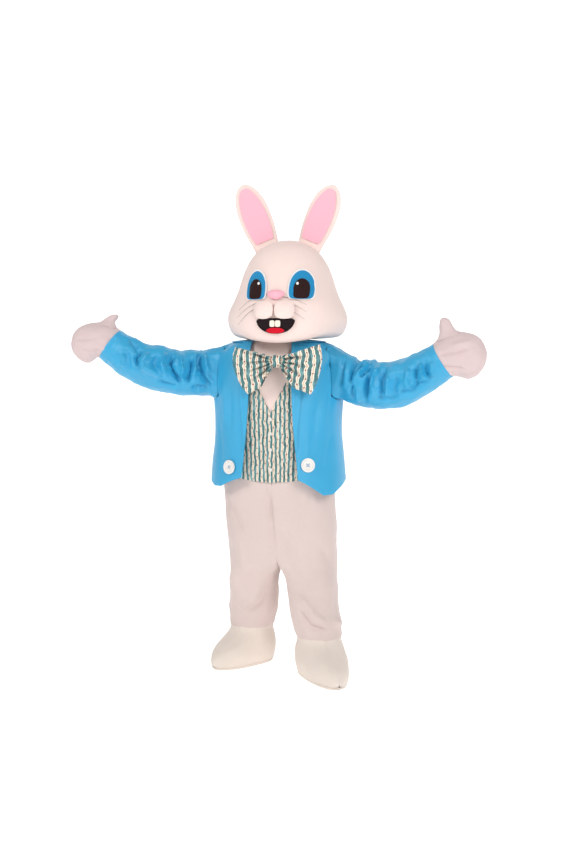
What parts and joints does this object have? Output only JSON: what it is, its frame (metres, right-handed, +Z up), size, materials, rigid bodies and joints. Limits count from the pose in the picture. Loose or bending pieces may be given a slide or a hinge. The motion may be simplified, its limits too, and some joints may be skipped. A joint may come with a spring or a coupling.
{
  "type": "rabbit mascot costume held up by its wearer",
  "caption": "Full-body plush rabbit costume, worn and hollow: head with tall ears, satin tailcoat jacket, striped waistcoat and bow tie, mitts, trousers and boot covers",
  "frame": {"origin": "where the wearer holds the costume up, at the middle of the neck between the shoulders, 1.325 m above the floor", "axes": "+Z up; the costume's torso faces -Y; the wearer's left is +X"},
  "size_m": [1.6898, 0.5046, 2.003],
  "materials": {
    "plush": "matt, very short nap",
    "trouser_plush": "matt, very short nap",
    "boot_plush": "matt, very short nap",
    "mitt_plush": "matt, very short nap",
    "jacket_satin": "satin twill",
    "striped_satin": "crinkled striped satin",
    "pink_felt": "matt felt",
    "white_felt": "matt felt",
    "blue_felt": "matt felt",
    "dark_mesh": "open mesh over dark cloth",
    "red_felt": "matt felt",
    "tooth_felt": "matt felt",
    "button_plastic": "polished"
  },
  "bodies": {
    "root": {"boot_left_inner": "boot_plush", "boot_left_outer": "boot_plush", "boot_right_inner": "boot_plush", "boot_right_outer": "boot_plush", "bow_knot": "striped_satin", "bow_left": "striped_satin", "bow_right": "striped_satin", "collar": "jacket_satin", "ear_left": "plush", "ear_lining_left": "pink_felt", "ear_lining_right": "pink_felt", "ear_right": "plush", "eye_blue_left": "blue_felt", "eye_blue_right": "blue_felt", "eye_pupil_left": "dark_mesh", "eye_pupil_right": "dark_mesh", "eye_white_left": "white_felt", "eye_white_right": "white_felt", "head_back": "plush", "head_face": "plush", "jacket_back": "jacket_satin", "jacket_button_left": "button_plastic", "jacket_button_right": "button_plastic", "jacket_front_left": "jacket_satin", "jacket_front_right": "jacket_satin", "lapel_left": "jacket_satin", "lapel_right": "jacket_satin", "mitt_left": "mitt_plush", "mitt_right": "mitt_plush", "mitt_thumb_left": "mitt_plush", "mitt_thumb_right": "mitt_plush", "mouth": "dark_mesh", "muzzle_left": "plush", "muzzle_right": "plush", "neck": "plush", "nose": "pink_felt", "placket": "striped_satin", "sleeve_left": "jacket_satin", "sleeve_right": "jacket_satin", "sole_left": "boot_plush", "sole_right": "boot_plush", "suit_back": "plush", "suit_front": "plush", "tongue": "red_felt", "tooth_left": "tooth_felt", "tooth_right": "tooth_felt", "trouser_left_back": "trouser_plush", "trouser_left_front": "trouser_plush", "trouser_right_back": "trouser_plush", "trouser_right_front": "trouser_plush", "vest_button_1": "button_plastic", "vest_button_2": "button_plastic", "vest_button_3": "button_plastic", "vest_button_4": "button_plastic", "vest_left": "striped_satin", "vest_right": "striped_satin"}
  },
  "joints": []
}
